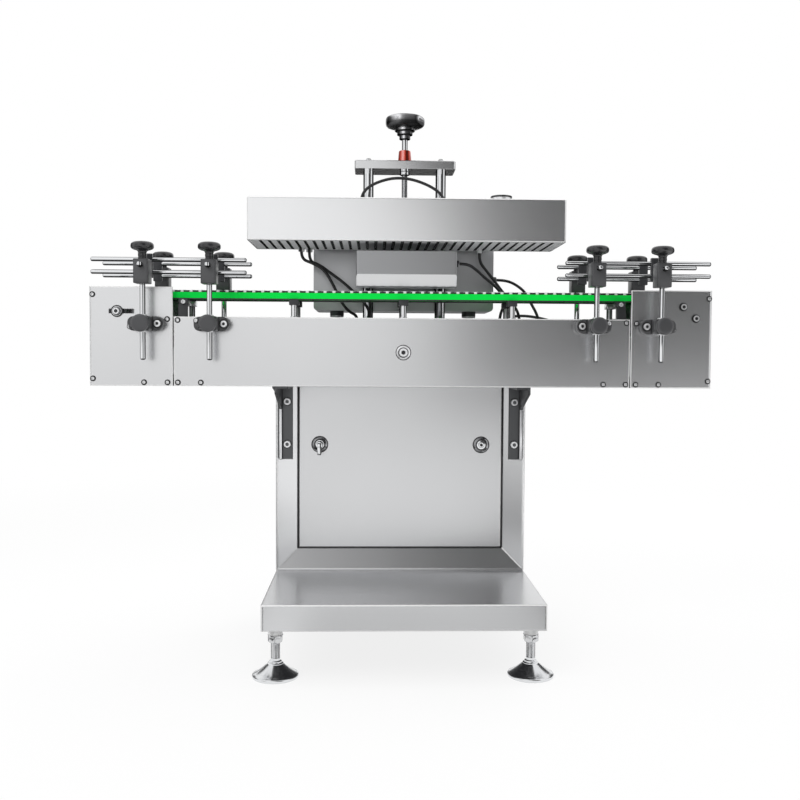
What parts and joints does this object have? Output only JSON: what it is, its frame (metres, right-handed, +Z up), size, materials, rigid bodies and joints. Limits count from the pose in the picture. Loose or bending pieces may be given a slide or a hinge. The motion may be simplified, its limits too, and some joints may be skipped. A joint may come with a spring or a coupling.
{
  "type": "induction cap sealer",
  "caption": "Floor-standing induction cap sealer: flat-top chain conveyor with adjustable guide rails passing under a height-adjustable coil head on a cabinet.",
  "frame": {"origin": "on the floor, under the middle of the machine's box", "axes": "+X along the conveyor, +Y from the viewer's side towards the operator panel, +Z up"},
  "size_m": [1.4, 0.6, 1.271],
  "materials": {
    "stainless": "brushed stainless sheet",
    "chrome": "polished",
    "dark_plastic": "moulded nylon, matte",
    "black_steel": "black coated",
    "green_plastic": "bright green wear plastic",
    "pale_plastic": "pale acetal",
    "red_metal": "red anodised look",
    "black_rubber": "black cable sheath",
    "red_plastic": "glossy",
    "grey_paint": "grey painted housing"
  },
  "bodies": {
    "root": {"base_plinth": "stainless", "foot_lock_nuts": "chrome", "cabinet_shell": "stainless", "conveyor_brackets": "stainless", "front_side_plate": "stainless", "rear_side_plate": "stainless", "bottom_pan": "stainless", "frame_joiners": "chrome", "left_end_housing": "stainless", "right_end_housing": "stainless", "wear_strips": "green_plastic", "track_rails": "black_steel", "track_posts": "chrome", "conveyor_chain": "pale_plastic", "gear_motor": "grey_paint", "cover_screws": "chrome", "post_clamps": "dark_plastic", "guide_columns": "chrome", "top_plate": "stainless", "power_unit": "grey_paint", "cable_glands": "dark_plastic", "motor_cable": "black_rubber", "left_outer_cable": "black_rubber", "left_inner_cable": "black_rubber", "coil_cable": "black_rubber", "right_outer_cable": "black_rubber", "control_cable": "black_rubber"},
    "head": {"head_housing": "stainless", "head_grille": "stainless", "coil_box": "stainless", "lift_carriage": "stainless", "control_box": "stainless", "arch_cable": "black_rubber"},
    "hand_screw": {"lead_screw": "chrome", "screw_collar": "red_metal", "hand_knob": "dark_plastic"},
    "stop_button": {"emergency_stop": "red_plastic"},
    "speed_dial": {"speed_knob": "dark_plastic"},
    "door": {"cabinet_door": "stainless"},
    "left_lock": {"left_door_lock": "chrome"},
    "right_lock": {"right_door_lock": "chrome"},
    "drive": {"drive_shaft": "chrome"},
    "take_up": {"take_up_blocks": "chrome"},
    "idler": {"idler_shaft": "chrome"},
    "front_left_foot": {"front_left_foot": "chrome"},
    "front_right_foot": {"front_right_foot": "chrome"},
    "rear_left_foot": {"rear_left_foot": "chrome"},
    "rear_right_foot": {"rear_right_foot": "chrome"},
    "front_left_stand": {"front_left_rail_stand": "dark_plastic"},
    "front_left_rail": {"front_left_guide_rail": "chrome"},
    "front_right_stand": {"front_right_rail_stand": "dark_plastic"},
    "front_right_rail": {"front_right_guide_rail": "chrome"},
    "rear_left_stand": {"rear_left_rail_stand": "dark_plastic"},
    "rear_left_rail": {"rear_left_guide_rail": "chrome"},
    "rear_right_stand": {"rear_right_rail_stand": "dark_plastic"},
    "rear_right_rail": {"rear_right_guide_rail": "chrome"},
    "front_left_inner_knob": {"front_left_inner_knob": "dark_plastic"},
    "front_left_outer_knob": {"front_left_outer_knob": "dark_plastic"},
    "front_right_inner_knob": {"front_right_inner_knob": "dark_plastic"},
    "front_right_outer_knob": {"front_right_outer_knob": "dark_plastic"}
  },
  "joints": [
    {"name": "head_lift", "type": "slide", "parent": "root", "child": "head", "axis": [0, 0, 1], "range_m": [0, 0.075], "deforming": ["left_outer_cable", "left_inner_cable", "coil_cable", "right_outer_cable", "control_cable"]},
    {"name": "lift_screw_turn", "type": "hinge", "parent": "root", "child": "hand_screw", "pos_m": [0.007, 0.078, 1.16], "axis": [0, 0, 1], "range_deg": [0, 2702]},
    {"name": "stop_button_press", "type": "slide", "parent": "head", "child": "stop_button", "axis": [0, -1, 0], "range_m": [0, 0.006]},
    {"name": "speed_dial_turn", "type": "hinge", "parent": "head", "child": "speed_dial", "pos_m": [0.047, 0.206, 0.869], "axis": [0, 1, 0], "range_deg": [-135, 135]},
    {"name": "door_lift_off", "type": "slide", "parent": "root", "child": "door", "axis": [0, -1, 0], "range_m": [0, 0.1]},
    {"name": "left_lock_turn", "type": "hinge", "parent": "door", "child": "left_lock", "pos_m": [-0.196, 0.042, 0.473], "axis": [0, 1, 0], "range_deg": [0, 90]},
    {"name": "right_lock_turn", "type": "hinge", "parent": "door", "child": "right_lock", "pos_m": [0.196, 0.042, 0.473], "axis": [0, -1, 0], "range_deg": [0, 90]},
    {"name": "drive_turn", "type": "hinge", "parent": "root", "child": "drive", "pos_m": [0.638, -0.062, 0.784], "axis": [0, 1, 0], "continuous": true},
    {"name": "take_up_slide", "type": "slide", "parent": "root", "child": "take_up", "axis": [1, 0, 0], "range_m": [0, 0.02]},
    {"name": "idler_turn", "type": "hinge", "parent": "take_up", "child": "idler", "pos_m": [-0.638, -0.062, 0.784], "axis": [0, 1, 0], "continuous": true},
    {"name": "front_left_foot_screw", "type": "slide", "parent": "root", "child": "front_left_foot", "axis": [0, 0, 1], "range_m": [-0.02, 0.015]},
    {"name": "front_right_foot_screw", "type": "slide", "parent": "root", "child": "front_right_foot", "axis": [0, 0, 1], "range_m": [-0.02, 0.015]},
    {"name": "rear_left_foot_screw", "type": "slide", "parent": "root", "child": "rear_left_foot", "axis": [0, 0, 1], "range_m": [-0.02, 0.015]},
    {"name": "rear_right_foot_screw", "type": "slide", "parent": "root", "child": "rear_right_foot", "axis": [0, 0, 1], "range_m": [-0.02, 0.015]},
    {"name": "front_left_height", "type": "slide", "parent": "root", "child": "front_left_stand", "axis": [0, 0, 1], "range_m": [-0.01, 0.04]},
    {"name": "front_left_reach", "type": "slide", "parent": "front_left_stand", "child": "front_left_rail", "axis": [0, 1, 0], "range_m": [-0.015, 0.025]},
    {"name": "front_right_height", "type": "slide", "parent": "root", "child": "front_right_stand", "axis": [0, 0, 1], "range_m": [-0.01, 0.04]},
    {"name": "front_right_reach", "type": "slide", "parent": "front_right_stand", "child": "front_right_rail", "axis": [0, 1, 0], "range_m": [-0.015, 0.025]},
    {"name": "rear_left_height", "type": "slide", "parent": "root", "child": "rear_left_stand", "axis": [0, 0, 1], "range_m": [-0.01, 0.04]},
    {"name": "rear_left_reach", "type": "slide", "parent": "rear_left_stand", "child": "rear_left_rail", "axis": [0, -1, 0], "range_m": [-0.015, 0.025]},
    {"name": "rear_right_height", "type": "slide", "parent": "root", "child": "rear_right_stand", "axis": [0, 0, 1], "range_m": [-0.01, 0.04]},
    {"name": "rear_right_reach", "type": "slide", "parent": "rear_right_stand", "child": "rear_right_rail", "axis": [0, -1, 0], "range_m": [-0.015, 0.025]},
    {"name": "front_left_inner_knob_turn", "type": "hinge", "parent": "front_left_stand", "child": "front_left_inner_knob", "pos_m": [-0.426, -0.165, 0.9], "axis": [0, 0, 1], "range_deg": [0, 360]},
    {"name": "front_left_outer_knob_turn", "type": "hinge", "parent": "front_left_stand", "child": "front_left_outer_knob", "pos_m": [-0.571, -0.165, 0.9], "axis": [0, 0, 1], "range_deg": [0, 360]},
    {"name": "front_right_inner_knob_turn", "type": "hinge", "parent": "front_right_stand", "child": "front_right_inner_knob", "pos_m": [0.426, -0.165, 0.9], "axis": [0, 0, 1], "range_deg": [0, 360]},
    {"name": "front_right_outer_knob_turn", "type": "hinge", "parent": "front_right_stand", "child": "front_right_outer_knob", "pos_m": [0.571, -0.165, 0.9], "axis": [0, 0, 1], "range_deg": [0, 360]}
  ],
  "couplings": [
    {"joint": "lift_screw_turn", "follows": "head_lift", "rad_per_m": 628.32},
    {"joint": "idler_turn", "follows": "drive_turn", "ratio": 1}
  ]
}
